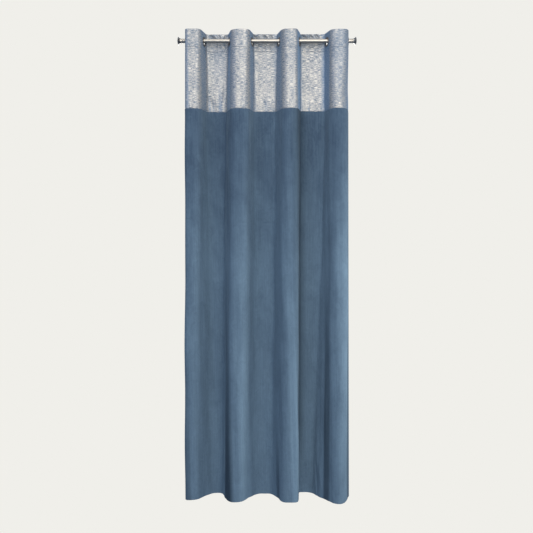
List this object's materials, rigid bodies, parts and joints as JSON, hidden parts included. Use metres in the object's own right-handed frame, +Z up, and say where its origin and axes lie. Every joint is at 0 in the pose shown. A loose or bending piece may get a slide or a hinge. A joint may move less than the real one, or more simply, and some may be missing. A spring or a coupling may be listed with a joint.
{
  "type": "velvet eyelet curtain on a curtain rod",
  "caption": "Long velvet curtain with a silvery header panel, hung in uneven folds by metal eyelets on a plain round rod with trumpet finials.",
  "frame": {"origin": "on the rod's axis, halfway between its ends", "axes": "+X along the rod, to the right as seen from the room; +Z up; -Y towards the room"},
  "size_m": [0.9576, 0.1572, 2.49],
  "materials": {
    "velvet": "cut-pile velvet with a soft sheen",
    "header_cloth": "slubby plain weave with silvery metallic yarn",
    "eyelet_metal": "polished nickel plate",
    "rod_metal": "satin nickel on steel"
  },
  "bodies": {
    "root": {"velvet_panel": "velvet", "header_panel": "header_cloth", "eyelet_1": "eyelet_metal", "eyelet_2": "eyelet_metal", "eyelet_3": "eyelet_metal", "eyelet_4": "eyelet_metal", "eyelet_5": "eyelet_metal", "eyelet_6": "eyelet_metal", "eyelet_7": "eyelet_metal", "eyelet_8": "eyelet_metal", "rod": "rod_metal", "finial_left": "rod_metal", "finial_right": "rod_metal"}
  },
  "joints": []
}
